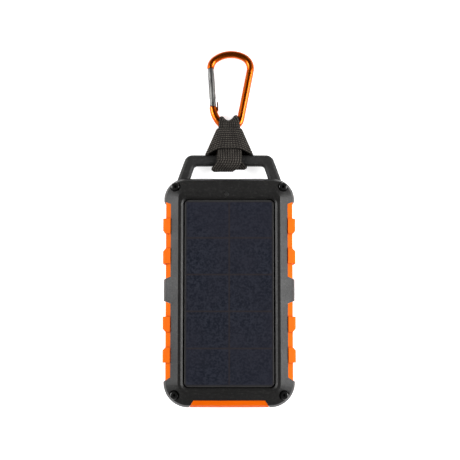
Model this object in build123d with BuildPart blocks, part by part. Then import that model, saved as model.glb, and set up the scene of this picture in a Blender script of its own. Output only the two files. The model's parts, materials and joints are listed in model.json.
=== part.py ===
"""Rugged solar phone charger: a sealed battery case with a solar panel on its face, a lamp on its
back, ports behind a rubber cover, and a webbing lanyard with a carabiner.

The case lies on its back. +Z is up out of the panel, +Y runs towards the handle, and the origin is
the centre of the back face. All dimensions are in millimetres.
"""

from build123d import *
import math
import os

os.makedirs("parts", exist_ok=True)

# ---------------------------------------------------------------- driving dimensions

# Case
case_width = 82.4  # over the black corner guards
case_length = 144.0
case_depth = 24.0
parting_z = 16.0  # where the front frame meets the back shell
corner_top = 13.3  # plan radius of the two corners by the handle
corner_bottom = 15.6  # plan radius of the two corners by the ports
flare = 1.5  # how far the side wall stands out beyond the rim of the bevel
wall = 2.3
floor = 2.2
bevel_width = 7.7  # broad sloping band round the front face
bevel_drop = 4.2
fit_gap = 0.05  # between parts of the case that are pressed together

# Side recesses that take the orange bumpers
recess_x = 36.7
upper_recess = (9.5, 55.4)  # Y of the ends, at the foot of the recess
lower_recess = (-53.2, -7.2)
cap_slant_upper = 2.3  # how far each slanted end runs on towards the outside
cap_slant_lower = 3.5
block_slant = 2.0
bumper_x = 39.9
lobe_x = 41.7
lobe_length = 9.5

# Solar panel and its window
panel_width = 55.8
panel_length = 116.4
panel_y = -0.7
panel_gap = 1.0
backsheet_thick = 1.0
cell_thick = 0.3
film_thick = 0.5
adhesive_thick = 0.2
panel_recess = 1.3  # panel face below the frame's face
cell_columns = 2
cell_rows = 5
cell_seam = 0.8
panel_border = 1.1

# Screws
screw_points = [(34.0, 66.4), (-34.0, 66.4), (34.2, -64.2), (-34.2, -64.2)]
screw_recess_r = 3.3
screw_seat_z = 19.6
screw_head_r = 2.75
screw_head_high = 1.7
screw_r = 1.25
insert_r = 2.1

# Handle at the top: a bar on two legs
bar = 7.0
bar_y = 84.7
bar_z = 8.0
bar_corner = 2.2
handle_outer = (34.3, 27.4, 5.5)  # half width at the foot and at the bar, corner radius
handle_inner = (26.5, 22.3, 2.6)

# Port bay at the bottom
bay_y = -67.2
bay_inner = 22.3  # half width at the inner wall
bay_outer = 25.4  # half width at the outside
bay_floor = 2.4
cover_gap = 0.25
cover_pin_r = 0.6
board_top = 8.8
board_thick = 1.2
board_points = [(27, -49), (-27, -49), (24, -60), (-24, -60)]  # its screws and posts
usb_a_x = 13.2
usb_a_size = (13.2, 14.0, 5.8)
usb_c_size = (9.0, 7.5, 3.3)

# Power button on the right side block
button_y = 1.15
button_z = 9.0
button_size = (9.8, 5.8)
button_proud = 0.3
button_gap = 0.15

# Lamp in the back
lamp_y = 60.5
lamp_size = (40.0, 12.0)
lamp_led_count = 6

# Charging light beside the panel, lit from the lamp's board
charge_light_x = -1.6
charge_light_y = 61.2
charge_light_r = 1.3

# Battery indicators in the back
indicator_y = -56.0
indicator_pitch = 6.0
indicator_r = 1.1

# Rating plate and grip grooves on the back
plate_size = (44.0, 26.0)
groove_rows = (-40, -34, -28, 28, 34, 40)
groove_size = (52.0, 1.6)

# Battery
battery_size = (58.0, 91.0, 6.1)
battery_y = 3.0
pad_thick = 0.6

# Lanyard
strap_thick = 1.4
hitch_gap = 0.3  # round the bar's corners
loop_axis_y = 102.4
loop_axis_z = 4.6
loop_half = 4.2  # half thickness of the webbing loop
loop_end_y = 113.4

# Carabiner
rod_r = 2.4
rod_gap = 0.3
clip_y = 106.7  # lowest point of the centreline
clip_z = 4.5
clip_tilt = 2.5  # degrees that the far end drops to the surface
gate_r = 2.1
gate_rivet_up = 2.6  # rivet above the end of the rod
tongue_thick = 1.6

# ---------------------------------------------------------------- derived places

half_width = case_width / 2
half_length = case_length / 2
shoulder_z = case_depth - bevel_drop
film_top = case_depth - panel_recess
cell_top = film_top - film_thick
backsheet_top = cell_top - cell_thick
ledge_top = backsheet_top - backsheet_thick - adhesive_thick
ledge_z = ledge_top - 1.0
cavity_x = recess_x - wall
cavity_low = bay_y + wall
cavity_high = half_length - 3.3
seal_inner = 0.65
seal_outer = 1.65
cover_low = bay_floor + 0.32
cover_thick = half_length + bay_y - cover_gap - 0.1
cover_axis_y = bay_y - cover_gap - cover_thick / 2
cover_axis_z = cover_low + cover_thick / 2
board_low = board_top - board_thick
hitch_inner = (bar / 2 - bar_corner) * math.sqrt(2) + bar_corner + hitch_gap
hitch_outer = hitch_inner + 2 * strap_thick


def bevel_z(from_middle, half_size):
    """Height of the sloping band at a distance from the middle of a case of that half size."""
    rim = half_size - flare
    return case_depth - bevel_drop * (from_middle - rim + bevel_width) / bevel_width


def case_outline(inset=0.0):
    """Plan outline of both shells, with the larger radii at the port end."""
    with BuildSketch() as outline:
        Rectangle(case_width - 2 * inset, case_length - 2 * inset)
        fillet(outline.vertices().group_by(Axis.Y)[-1], corner_top - inset)
        fillet(outline.vertices().group_by(Axis.Y)[0], corner_bottom - inset)
    return outline.sketch


def cavity_outline(grow=0.0):
    """Plan outline of the space inside the case, grown outwards for the seal."""
    with BuildSketch() as outline:
        with Locations((0, (cavity_low + cavity_high) / 2)):
            Rectangle(2 * (cavity_x + grow), cavity_high - cavity_low + 2 * grow)
        fillet(outline.vertices().group_by(Axis.Y)[-1], 15.0 + grow)
        fillet(outline.vertices().group_by(Axis.Y)[0], 11.5 + grow)
    return outline.sketch


def recess_outline(ends, slants, outer_x, shrink=0.0):
    """Plan of one right-hand bumper recess: straight foot, and ends that slant outwards."""
    low, high = ends
    low_slant, high_slant = slants
    run = (outer_x - recess_x) / (half_width - recess_x)
    foot = recess_x + shrink
    points = [
        (foot, low + shrink),
        (outer_x, low + shrink - low_slant * run * 0.8),
        (outer_x, high - shrink + high_slant * run * 0.8),
        (foot, high - shrink),
    ]
    with BuildSketch() as outline:
        Polygon(*points, align=None)
    return outline.sketch


upper_slants = (block_slant, cap_slant_upper)
lower_slants = (cap_slant_lower, block_slant)


def side_recesses():
    """The four prisms cut from both shells for the bumpers."""
    with BuildPart() as cutter:
        with BuildSketch(Plane.XY.offset(-1)):
            add(recess_outline(upper_recess, upper_slants, half_width + 2))
            add(recess_outline(lower_recess, lower_slants, half_width + 2))
        extrude(amount=case_depth + 2)
        mirror(about=Plane.YZ)
    return cutter.part


def port_bay():
    """The bay behind the port cover, open at the end and through the front bevel."""
    with BuildPart() as cutter:
        with BuildSketch(Plane.XY.offset(bay_floor)):
            slope = (bay_outer - bay_inner) / (half_length + bay_y)
            past = 1.0
            end_half = bay_outer + slope * past
            Polygon(
                (-bay_inner, bay_y),
                (bay_inner, bay_y),
                (end_half, -half_length - past),
                (-end_half, -half_length - past),
                align=None,
            )
        extrude(amount=case_depth)
    return cutter.part


# ---------------------------------------------------------------- handle loop

foot_y = cavity_high + 0.6
bar_top = bar_y + bar / 2
bar_low = bar_y - bar / 2


def handle_outline(shape, start_y, end_y):
    """A symmetric trapezoid standing on the case, with its two far corners rounded."""
    foot_x, shoulder_x, radius = shape
    with BuildSketch() as outline:
        Polygon((-foot_x, start_y), (foot_x, start_y), (shoulder_x, end_y), (-shoulder_x, end_y), align=None)
        fillet(outline.vertices().group_by(Axis.Y)[-1], radius)
    return outline.sketch


with BuildPart() as handle_loop:
    with BuildSketch(Plane.XY.offset(bar_z - bar / 2)):
        add(handle_outline(handle_outer, foot_y, bar_top))
        add(handle_outline(handle_inner, foot_y - 1, bar_low), mode=Mode.SUBTRACT)
    extrude(amount=bar)
    long_edges = handle_loop.faces().filter_by(Axis.Z).edges()
    rim = [e for e in long_edges if e.center().Y > foot_y + 0.1]
    fillet(rim, bar_corner)

# ---------------------------------------------------------------- back shell

with BuildPart() as back_shell:
    with BuildSketch():
        add(case_outline())
    extrude(amount=parting_z)
    chamfer(back_shell.faces().sort_by(Axis.Z)[0].edges(), 1.6)
    add(handle_loop.part)
    with BuildSketch(Plane.XY.offset(floor)):
        add(cavity_outline())
    extrude(amount=parting_z, mode=Mode.SUBTRACT)
    add(side_recesses(), mode=Mode.SUBTRACT)
    add(port_bay(), mode=Mode.SUBTRACT)
    # groove for the seal
    with BuildSketch(Plane.XY.offset(parting_z - 0.75)):
        add(cavity_outline(seal_outer + fit_gap))
        add(cavity_outline(seal_inner - fit_gap), mode=Mode.SUBTRACT)
    extrude(amount=1.0, mode=Mode.SUBTRACT)
    # holes for the threaded inserts
    with Locations(*[(x, y, parting_z) for x, y in screw_points]):
        Hole(insert_r, depth=8.5)
    # port windows through the wall of the bay
    with Locations(*[(x, bay_y + wall / 2, board_top + usb_a_size[2] / 2) for x in (-usb_a_x, usb_a_x)]):
        Box(usb_a_size[0] + 0.1, wall + 1, usb_a_size[2] + 0.1, mode=Mode.SUBTRACT)
    with Locations((0, bay_y + wall / 2, board_top + usb_c_size[2] / 2)):
        Box(usb_c_size[0] + 0.1, wall + 1, usb_c_size[2] + 0.1, mode=Mode.SUBTRACT)
    # hinge pin holes in the cheeks of the bay
    with BuildSketch(Plane.YZ.offset(-bay_outer - 1.5)):
        with Locations((cover_axis_y, cover_axis_z)):
            Circle(cover_pin_r)
    extrude(amount=2 * bay_outer + 3.0, mode=Mode.SUBTRACT)
    # slot for the power button through the right side block
    with BuildSketch(Plane.YZ.offset(cavity_x - 1)):
        with Locations((button_y, button_z)):
            SlotOverall(button_size[0] + 2 * button_gap, button_size[1] + 2 * button_gap)
    extrude(amount=10, mode=Mode.SUBTRACT)
    # lamp window, indicator holes and the shallow recess for the rating plate
    with BuildSketch(Plane.XY):
        with Locations((0, lamp_y)):
            SlotOverall(lamp_size[0] + 0.1, lamp_size[1] + 0.1)
        with Locations((0, indicator_y)):
            with GridLocations(indicator_pitch, 0, 4, 1):
                Circle(indicator_r + fit_gap)
    extrude(amount=floor, mode=Mode.SUBTRACT)
    with BuildSketch(Plane.XY):
        RectangleRounded(plate_size[0] + 0.1, plate_size[1] + 0.1, 2.05)
    extrude(amount=0.6, mode=Mode.SUBTRACT)
    # grip grooves across the back
    with BuildSketch(Plane.XY):
        for groove_y in groove_rows:
            with Locations((0, groove_y)):
                SlotOverall(*groove_size)
    extrude(amount=0.6, mode=Mode.SUBTRACT)
    # posts for the main board
    with BuildSketch(Plane.XY.offset(floor)):
        with Locations(*board_points):
            Circle(2.3)
            Circle(0.7, mode=Mode.SUBTRACT)
    extrude(amount=board_low - floor)

# ---------------------------------------------------------------- front frame

window_x = panel_width / 2 + panel_gap
window_y = panel_length / 2 + panel_gap
with BuildPart() as front_frame:
    with BuildSketch(Plane.XY.offset(parting_z)):
        add(case_outline(flare))
    extrude(amount=case_depth - parting_z)
    face = front_frame.faces().sort_by(Axis.Z)[-1]
    chamfer(face.edges(), bevel_width, bevel_drop, reference=face)
    # steep side wall that runs out to the width of the back shell
    with BuildSketch(Plane.XY.offset(parting_z)):
        add(case_outline())
    extrude(amount=shoulder_z - parting_z, taper=math.degrees(math.atan2(flare, shoulder_z - parting_z)))
    shoulder = [e for e in front_frame.edges() if abs(e.center().Z - shoulder_z) < 0.01]
    fillet(shoulder, 0.9)
    # window for the panel, with a ledge below and a sloping lip
    with BuildSketch(Plane.XY.offset(ledge_top)):
        with Locations((0, panel_y)):
            RectangleRounded(2 * window_x, 2 * window_y, 3.4)
    extrude(amount=case_depth, mode=Mode.SUBTRACT)
    face = front_frame.faces().sort_by(Axis.Z)[-1]
    chamfer(face.inner_wires()[0].edges(), 1.3, 0.8, reference=face)
    with BuildSketch(Plane.XY.offset(parting_z)):
        with Locations((0, panel_y)):
            RectangleRounded(2 * window_x - 6, 2 * window_y - 6, 2)
    extrude(amount=case_depth, mode=Mode.SUBTRACT)
    with BuildSketch(Plane.XY.offset(parting_z)):
        add(cavity_outline())
    extrude(amount=ledge_z - parting_z, mode=Mode.SUBTRACT)
    add(side_recesses(), mode=Mode.SUBTRACT)
    add(port_bay(), mode=Mode.SUBTRACT)
    with Locations(*[(x, y, case_depth) for x, y in screw_points]):
        CounterBoreHole(screw_r + 0.15, screw_recess_r, case_depth - screw_seat_z)
    with Locations((charge_light_x, charge_light_y, case_depth)):
        Hole(charge_light_r + fit_gap)

# ---------------------------------------------------------------- bumpers


def lobe(square_end, slant_end):
    """One raised grip on a right-hand bumper, square at one end and slanted at the other."""
    way = 1 if slant_end > square_end else -1
    with BuildPart() as grip:
        with BuildSketch(Plane.XZ):
            Polygon(
                (recess_x + fit_gap, 1.0),
                (lobe_x - 1.8, 1.0),
                (lobe_x, 3.0),
                (lobe_x, bevel_z(lobe_x, half_width) + 0.1),
                (lobe_x - 1.0, bevel_z(lobe_x - 1.0, half_width) + 1.0),
                (recess_x + 0.4, bevel_z(recess_x + 0.4, half_width) + 0.9),
                (recess_x + fit_gap, bevel_z(recess_x, half_width) + 0.3),
                align=None,
            )
        extrude(amount=case_length / 2, both=True)
        with BuildSketch():
            Polygon(
                (recess_x, square_end),
                (lobe_x + 1, square_end),
                (lobe_x + 1, slant_end - way * 2.9),
                (lobe_x, slant_end - way * 1.9),
                (bumper_x, slant_end),
                (recess_x, slant_end),
                align=None,
            )
        extrude(amount=case_depth, mode=Mode.INTERSECT)
    return grip.part


def bumper_strip(ends, slants, lobe_ends):
    """A right-hand bumper: the base strip that fills its recess, and its raised lobes."""
    lobes = [lobe(square_end, slant_end) for square_end, slant_end in lobe_ends]
    with BuildPart() as strip:
        with BuildSketch(Plane.XZ):
            Polygon(
                (recess_x + fit_gap, 1.4),
                (bumper_x - 1.2, 1.4),
                (bumper_x, 2.8),
                (bumper_x, bevel_z(bumper_x, half_width) - 0.6),
                (bumper_x - 0.7, bevel_z(bumper_x - 0.7, half_width)),
                (recess_x + fit_gap, bevel_z(recess_x + fit_gap, half_width) - fit_gap),
                align=None,
            )
        extrude(amount=case_length / 2, both=True)
        with BuildSketch():
            add(recess_outline(ends, slants, lobe_x, shrink=fit_gap))
        extrude(amount=case_depth, mode=Mode.INTERSECT)
        for grip in lobes:
            add(grip)
    return strip.part


upper_lobes = [(46.2, 46.2 - lobe_length), (17.9, 17.9 + lobe_length)]
lower_lobes = [(-15.4, -15.4 - lobe_length), (-44.1, -44.1 + lobe_length)]

with BuildPart() as bumper_right_upper:
    add(bumper_strip(upper_recess, upper_slants, upper_lobes))
with BuildPart() as bumper_right_lower:
    add(bumper_strip(lower_recess, lower_slants, lower_lobes))
with BuildPart() as bumper_left_upper:
    add(mirror(bumper_right_upper.part, about=Plane.YZ))
with BuildPart() as bumper_left_lower:
    add(mirror(bumper_right_lower.part, about=Plane.YZ))

# ---------------------------------------------------------------- seal, screws and inserts

with BuildPart() as case_seal:
    with BuildSketch(Plane.XY.offset(parting_z - 0.7)):
        add(cavity_outline(seal_outer))
        add(cavity_outline(seal_inner), mode=Mode.SUBTRACT)
    extrude(amount=0.7)

with BuildPart() as case_screws:
    with Locations(*[(x, y, screw_seat_z) for x, y in screw_points]):
        Cylinder(screw_head_r, screw_head_high, align=(Align.CENTER, Align.CENTER, Align.MIN))
        Cylinder(screw_r, 11.0, align=(Align.CENTER, Align.CENTER, Align.MAX))
    fillet(case_screws.edges().group_by(Axis.Z)[-1], 1.0)
    with BuildSketch(Plane.XY.offset(screw_seat_z + screw_head_high)):
        with Locations(*screw_points):
            RegularPolygon(0.95, 6)
    extrude(amount=-1.2, mode=Mode.SUBTRACT)

with BuildPart() as screw_inserts:
    with BuildSketch(Plane.XY.offset(parting_z - 8.3)):
        with Locations(*screw_points):
            Circle(insert_r - fit_gap)
            Circle(screw_r + 0.02, mode=Mode.SUBTRACT)
    extrude(amount=8.0)

# ---------------------------------------------------------------- solar panel

with BuildPart() as solar_backsheet:
    with BuildSketch(Plane.XY.offset(backsheet_top - backsheet_thick)):
        with Locations((0, panel_y)):
            RectangleRounded(panel_width, panel_length, 2.5)
    extrude(amount=backsheet_thick)

cell_width = (panel_width - 2 * panel_border - (cell_columns - 1) * cell_seam) / cell_columns
cell_length = (panel_length - 2 * panel_border - (cell_rows - 1) * cell_seam) / cell_rows
with BuildPart() as solar_cells:
    with BuildSketch(Plane.XY.offset(backsheet_top)):
        with Locations((0, panel_y)):
            with GridLocations(cell_width + cell_seam, cell_length + cell_seam, cell_columns, cell_rows):
                RectangleRounded(cell_width, cell_length, 0.8)
    extrude(amount=cell_thick)

with BuildPart() as cell_ribbons:
    with BuildSketch(Plane.XY.offset(backsheet_top)):
        with Locations((0, panel_y)):
            with GridLocations(cell_width + cell_seam, cell_length + cell_seam, cell_columns, cell_rows - 1):
                Rectangle(6.0, cell_seam - 0.2)
    extrude(amount=0.2)

with BuildPart() as solar_film:
    with BuildSketch(Plane.XY.offset(cell_top)):
        with Locations((0, panel_y)):
            RectangleRounded(panel_width, panel_length, 2.5)
    extrude(amount=film_thick)
    fillet(solar_film.edges().group_by(Axis.Z)[-1], 0.3)

with BuildPart() as panel_adhesive:
    with BuildSketch(Plane.XY.offset(ledge_top)):
        with Locations((0, panel_y)):
            RectangleRounded(panel_width, panel_length, 2.5)
            RectangleRounded(panel_width - 3.4, panel_length - 3.4, 1.5, mode=Mode.SUBTRACT)
    extrude(amount=adhesive_thick)

# ---------------------------------------------------------------- battery

battery_low = floor + pad_thick
with BuildPart() as battery_pad:
    with BuildSketch(Plane.XY.offset(floor)):
        with Locations((0, battery_y)):
            RectangleRounded(50, 82, 3)
    extrude(amount=pad_thick)

with BuildPart() as battery_cells:
    for layer in range(2):
        with BuildSketch(Plane.XY.offset(battery_low + layer * (battery_size[2] + 0.1))):
            with Locations((0, battery_y)):
                RectangleRounded(battery_size[0], battery_size[1], 4)
        extrude(amount=battery_size[2])
    fillet(battery_cells.edges().filter_by(Axis.Z, reverse=True), 1.2)

battery_top = battery_low + 2 * battery_size[2] + 0.1
battery_end = battery_y + battery_size[1] / 2
with BuildPart() as protection_board:
    with Locations((0, battery_end + 0.8, 8.5)):
        Box(44, 1.0, 7.0)
    with Locations((-10, battery_end + 1.9, 8.5), (4, battery_end + 1.9, 8.5)):
        Box(5, 1.2, 4)

with BuildPart() as panel_support_pad:
    with BuildSketch(Plane.XY.offset(battery_top + 0.05)):
        with Locations((0, battery_y)):
            RectangleRounded(46, 80, 4)
    extrude(amount=ledge_top + adhesive_thick - battery_top - 0.1)

# ---------------------------------------------------------------- main board and ports

with BuildPart() as main_board:
    with BuildSketch(Plane.XY.offset(board_low)):
        Polygon(
            (-30.5, -45.2),
            (30.5, -45.2),
            (30.5, -58.0),
            (24.5, -64.5),
            (-24.5, -64.5),
            (-30.5, -58.0),
            align=None,
        )
        with Locations(*board_points):
            Circle(1.05, mode=Mode.SUBTRACT)
    extrude(amount=board_thick)

with BuildPart() as board_screws:
    with Locations(*[(x, y, board_top) for x, y in board_points]):
        Cylinder(1.8, 1.1, align=(Align.CENTER, Align.CENTER, Align.MIN))
        Cylinder(0.68, 4.6, align=(Align.CENTER, Align.CENTER, Align.MAX))

with BuildPart() as usb_a_shells:
    shell_y = bay_y + 0.2 + usb_a_size[1] / 2
    shell_z = board_top + usb_a_size[2] / 2
    with Locations((usb_a_x, shell_y, shell_z), (-usb_a_x, shell_y, shell_z)):
        Box(*usb_a_size)
    with Locations((usb_a_x, shell_y - 0.7, shell_z), (-usb_a_x, shell_y - 0.7, shell_z)):
        Box(usb_a_size[0] - 0.8, usb_a_size[1] - 0.7, usb_a_size[2] - 0.8, mode=Mode.SUBTRACT)

with BuildPart() as usb_a_tongues:
    tongue_length = usb_a_size[1] - 3.6
    tongue_y = shell_y + usb_a_size[1] / 2 - 1.05 - tongue_length / 2
    with Locations((usb_a_x, tongue_y, shell_z + 1.2), (-usb_a_x, tongue_y, shell_z + 1.2)):
        Box(11.2, tongue_length, 1.8)

with BuildPart() as usb_c_shell:
    c_y = bay_y + 0.2 + usb_c_size[1] / 2
    c_z = board_top + usb_c_size[2] / 2
    with BuildSketch(Plane.XZ.offset(-c_y - usb_c_size[1] / 2)):
        with Locations((0, c_z)):
            SlotOverall(usb_c_size[0], usb_c_size[2])
    extrude(amount=usb_c_size[1])
    with BuildSketch(Plane.XZ.offset(-c_y + usb_c_size[1] / 2)):
        with Locations((0, c_z)):
            SlotOverall(usb_c_size[0] - 0.7, usb_c_size[2] - 0.7)
    extrude(amount=-usb_c_size[1] + 0.6, mode=Mode.SUBTRACT)

with BuildPart() as usb_c_tongue:
    with Locations((0, c_y + 0.6, c_z)):
        Box(6.6, usb_c_size[1] - 2.5, 0.7)

with BuildPart() as control_chips:
    chip_places = [(-14, -49.2, 7.0, 5.0), (2, -56.0, 5.0, 5.0), (12, -48.8, 4.0, 3.0)]
    for chip_x, chip_y, chip_w, chip_l in chip_places:
        with Locations((chip_x, chip_y, board_top + 0.5)):
            Box(chip_w, chip_l, 1.0)

with BuildPart() as power_inductors:
    with BuildSketch(Plane.XY.offset(board_top)):
        with Locations((-5.0, -49.2), (21, -49.2)):
            RectangleRounded(6.6, 6.6, 1.4)
    extrude(amount=3.4)
    fillet(power_inductors.edges().group_by(Axis.Z)[-1], 0.6)

with BuildPart() as smoothing_capacitors:
    with Locations((4.6, -48.8, board_top), (-22.5, -49.5, board_top)):
        Cylinder(2.5, 5.2, align=(Align.CENTER, Align.CENTER, Align.MIN))
    fillet(smoothing_capacitors.edges().group_by(Axis.Z)[-1], 0.5)

with BuildPart() as indicator_leds:
    with Locations((0, indicator_y, board_low)):
        with GridLocations(indicator_pitch, 0, 4, 1):
            Box(1.6, 1.2, 0.7, align=(Align.CENTER, Align.CENTER, Align.MAX))

with BuildPart() as light_pipes:
    with Locations((0, indicator_y, 0.35)):
        with GridLocations(indicator_pitch, 0, 4, 1):
            Cylinder(indicator_r, board_low - 0.8 - 0.35, align=(Align.CENTER, Align.CENTER, Align.MIN))

# ---------------------------------------------------------------- port cover and its pin

cover_shrink = cover_gap + 0.02
with BuildPart() as port_cover:
    with BuildSketch(Plane.YZ.offset(-bay_outer)):
        cover_inner_y = cover_axis_y + cover_thick / 2
        cover_outer_y = cover_axis_y - cover_thick / 2
        Polygon(
            (cover_inner_y, cover_axis_z),
            (cover_inner_y, bevel_z(-cover_inner_y, half_length) - 0.1),
            (cover_outer_y + flare, shoulder_z - 0.1),
            (cover_outer_y, parting_z),
            (cover_outer_y, cover_axis_z),
            align=None,
        )
        with Locations((cover_axis_y, cover_axis_z)):
            Circle(cover_thick / 2)
    extrude(amount=2 * bay_outer)
    with BuildSketch():
        slope = (bay_outer - bay_inner) / (half_length + bay_y)
        inner_half = bay_inner - cover_shrink + slope * 0.2
        outer_half = bay_outer - cover_shrink
        Polygon(
            (-inner_half, bay_y),
            (inner_half, bay_y),
            (outer_half, -half_length),
            (-outer_half, -half_length),
            align=None,
        )
    extrude(amount=case_depth, mode=Mode.INTERSECT)
    # the hinge end is straight, so that it turns between the slanted cheeks of the bay
    with BuildSketch():
        with Locations((-inner_half - 5, bay_y), (inner_half + 5, bay_y)):
            Rectangle(10, 20)
    extrude(amount=cover_axis_z + cover_thick / 2 + 0.4, mode=Mode.SUBTRACT)
    # plugs that sit in the mouths of the ports
    with Locations((usb_a_x, bay_y + 0.3, shell_z), (-usb_a_x, bay_y + 0.3, shell_z)):
        Box(11.0, 1.6, 2.8)
    with Locations((0, bay_y + 0.2, c_z)):
        Box(6.0, 1.4, 1.0)
    with BuildSketch(Plane.YZ.offset(-bay_outer)):
        with Locations((cover_axis_y, cover_axis_z)):
            Circle(cover_pin_r + 0.07)
    extrude(amount=2 * bay_outer, mode=Mode.SUBTRACT)

with BuildPart() as port_cover_pin:
    with BuildSketch(Plane.YZ.offset(-bay_outer - 1.4)):
        with Locations((cover_axis_y, cover_axis_z)):
            Circle(cover_pin_r - 0.01)
    extrude(amount=2 * bay_outer + 2.8)

# ---------------------------------------------------------------- power button and its switch

button_back_x = cavity_x - 0.1
with BuildPart() as power_button:
    with BuildSketch(Plane.YZ.offset(button_back_x - 0.9)):
        with Locations((button_y, button_z)):
            SlotOverall(button_size[0] + 2.4, button_size[1] + 2.4)
    extrude(amount=0.9)
    with BuildSketch(Plane.YZ.offset(button_back_x)):
        with Locations((button_y, button_z)):
            SlotOverall(*button_size)
    extrude(amount=half_width + button_proud - button_back_x)
    fillet(power_button.edges().group_by(Axis.X)[-1], 0.5)

switch_face_x = button_back_x - 1.7
with BuildPart() as switch_body:
    with Locations((switch_face_x - 0.85, button_y, button_z)):
        Box(1.7, 6, 6)
    with BuildSketch(Plane.YZ.offset(switch_face_x - 1.2)):
        with Locations((button_y, button_z)):
            Circle(1.3)
    extrude(amount=2, mode=Mode.SUBTRACT)

with BuildPart() as switch_plunger:
    with BuildSketch(Plane.YZ.offset(switch_face_x - 0.6)):
        with Locations((button_y, button_z)):
            Circle(1.2)
    extrude(amount=button_back_x - 0.9 - switch_face_x + 0.6)

with BuildPart() as switch_board:
    with Locations((switch_face_x - 2.1, button_y, button_z)):
        Box(0.8, 14, 9)

# ---------------------------------------------------------------- lamp

with BuildPart() as lamp_lens:
    with BuildSketch(Plane.XY.offset(0.4)):
        with Locations((0, lamp_y)):
            SlotOverall(*lamp_size)
    extrude(amount=floor - 0.4)
    with BuildSketch(Plane.XY.offset(floor)):
        with Locations((0, lamp_y)):
            SlotOverall(lamp_size[0] + 3, lamp_size[1] + 3)
    extrude(amount=0.7)

lamp_pitch = 6.0
with BuildPart() as lamp_reflector:
    with BuildSketch(Plane.XY.offset(floor + 0.75)):
        with Locations((0, lamp_y)):
            SlotOverall(lamp_size[0] + 3, lamp_size[1] + 3)
    extrude(amount=4.0)
    with Locations((0, lamp_y, floor + 2.75)):
        with GridLocations(lamp_pitch, 0, lamp_led_count, 1):
            Cone(2.8, 1.9, 4.0, mode=Mode.SUBTRACT)

lamp_board_z = floor + 4.8
with BuildPart() as lamp_leds:
    with Locations((0, lamp_y, lamp_board_z)):
        with GridLocations(lamp_pitch, 0, lamp_led_count, 1):
            Box(2.2, 2.2, 0.8, align=(Align.CENTER, Align.CENTER, Align.MAX))

with BuildPart() as lamp_board:
    with BuildSketch(Plane.XY.offset(lamp_board_z)):
        with Locations((0, lamp_y)):
            SlotOverall(lamp_size[0] + 2, lamp_size[1] + 2)
    extrude(amount=1.0)

with BuildPart() as charge_led:
    with Locations((charge_light_x, charge_light_y, lamp_board_z + 1.0)):
        Box(1.6, 1.2, 0.7, align=(Align.CENTER, Align.CENTER, Align.MIN))

pipe_foot_z = lamp_board_z + 2.0
with BuildPart() as charge_light_pipe:
    with Locations((charge_light_x, charge_light_y, pipe_foot_z)):
        pipe_length = case_depth + 0.1 - pipe_foot_z
        Cylinder(charge_light_r, pipe_length, align=(Align.CENTER, Align.CENTER, Align.MIN))
    fillet(charge_light_pipe.edges().group_by(Axis.Z)[-1], 0.3)

# ---------------------------------------------------------------- wiring inside the case


def wire(route, radii, thick):
    """One insulated wire along straight runs joined by tangent arcs."""
    with BuildPart() as lead:
        with BuildLine() as path:
            FilletPolyline(*route, radius=radii)
        with BuildSketch(Plane(origin=path.line @ 0, z_dir=path.line % 0)):
            Circle(thick / 2)
        sweep()
    return lead.part


panel_under = backsheet_top - backsheet_thick
with BuildPart() as solar_leads:
    for lead_x in (-14.0, -12.0):
        route = [
            (lead_x, -44.2, panel_under),
            (lead_x, -44.2, 15.0),
            (lead_x, -46.0, 12.0),
            (lead_x, -46.0, board_top),
        ]
        add(wire(route, [1.6, 1.6], 1.1))

with BuildPart() as battery_leads:
    for lead_z, end_y in ((13.6, -52.5), (12.0, -47.0)):
        route = [
            (-23.0, battery_end + 3.6, lead_z),
            (-30.2, battery_end + 1.6, lead_z),
            (-30.2, -41.5, lead_z),
            (-30.2, end_y, board_top + 0.7),
        ]
        add(wire(route, [2.6, 4.0], 1.3))

with BuildPart() as lamp_leads:
    for lead_x, lead_z in ((-30.2, 6.4), (-31.7, 5.0)):
        route = [
            (-23.5, lamp_y - 3.0, lead_z),
            (lead_x, battery_end + 1.0, lead_z),
            (lead_x, -44.8, lead_z),
        ]
        add(wire(route, [6.0], 1.0))

# ---------------------------------------------------------------- rating plate

with BuildPart() as rating_plate:
    with BuildSketch(Plane.XY.offset(0.15)):
        RectangleRounded(*plate_size, 2)
    extrude(amount=0.45)

# ---------------------------------------------------------------- carabiner

clip_plane = Plane(
    origin=(0, clip_y, clip_z),
    x_dir=(1, 0, 0),
    z_dir=(0, math.sin(math.radians(clip_tilt)), math.cos(math.radians(clip_tilt))),
)
gate_lean = 93.5  # degrees from +X to the line of the gate
nose_point = (-12.05, 39.76)
foot_r = 7.4
with BuildLine() as clip_line:
    gate_way = (math.cos(math.radians(gate_lean)), math.sin(math.radians(gate_lean)))
    nose_bend = JernArc(start=nose_point, tangent=gate_way, radius=6.9, arc_size=-55)
    crown = JernArc(start=nose_bend @ 1, tangent=nose_bend % 1, radius=17.3, arc_size=-66)
    shoulder_bend = JernArc(start=crown @ 1, tangent=crown % 1, radius=8.45, arc_size=-73.5)
    arm = Line(shoulder_bend @ 1, (shoulder_bend @ 1) + (shoulder_bend % 1) * 32.65)
    foot_bend = JernArc(start=arm @ 1, tangent=arm % 1, radius=foot_r, arc_size=-120)
    heel = JernArc(start=foot_bend @ 1, tangent=foot_bend % 1, radius=17.0, arc_size=-45.5)

heel_end = heel @ 1
gate_length = (Vector(*nose_point) - heel_end).length
gate_along = (Vector(*nose_point) - heel_end).normalized()
gate_inward = Vector(gate_along.Y, -gate_along.X, 0)
rivet_point = heel_end + gate_along * gate_rivet_up
foot_centre = foot_bend.arc_center


def in_clip(point):
    """A point of the carabiner's own plan, placed in the part's frame."""
    return clip_plane.from_local_coords(Vector(point))


def clip_direction(vector):
    """A direction of the carabiner's own plan, turned into the part's frame."""
    return in_clip(vector) - in_clip((0, 0, 0))


# Z runs up the gate from its rivet, and X points into the carabiner
gate_frame = Plane(
    origin=in_clip(rivet_point),
    x_dir=clip_direction(gate_inward),
    z_dir=clip_direction(gate_along),
)
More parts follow.
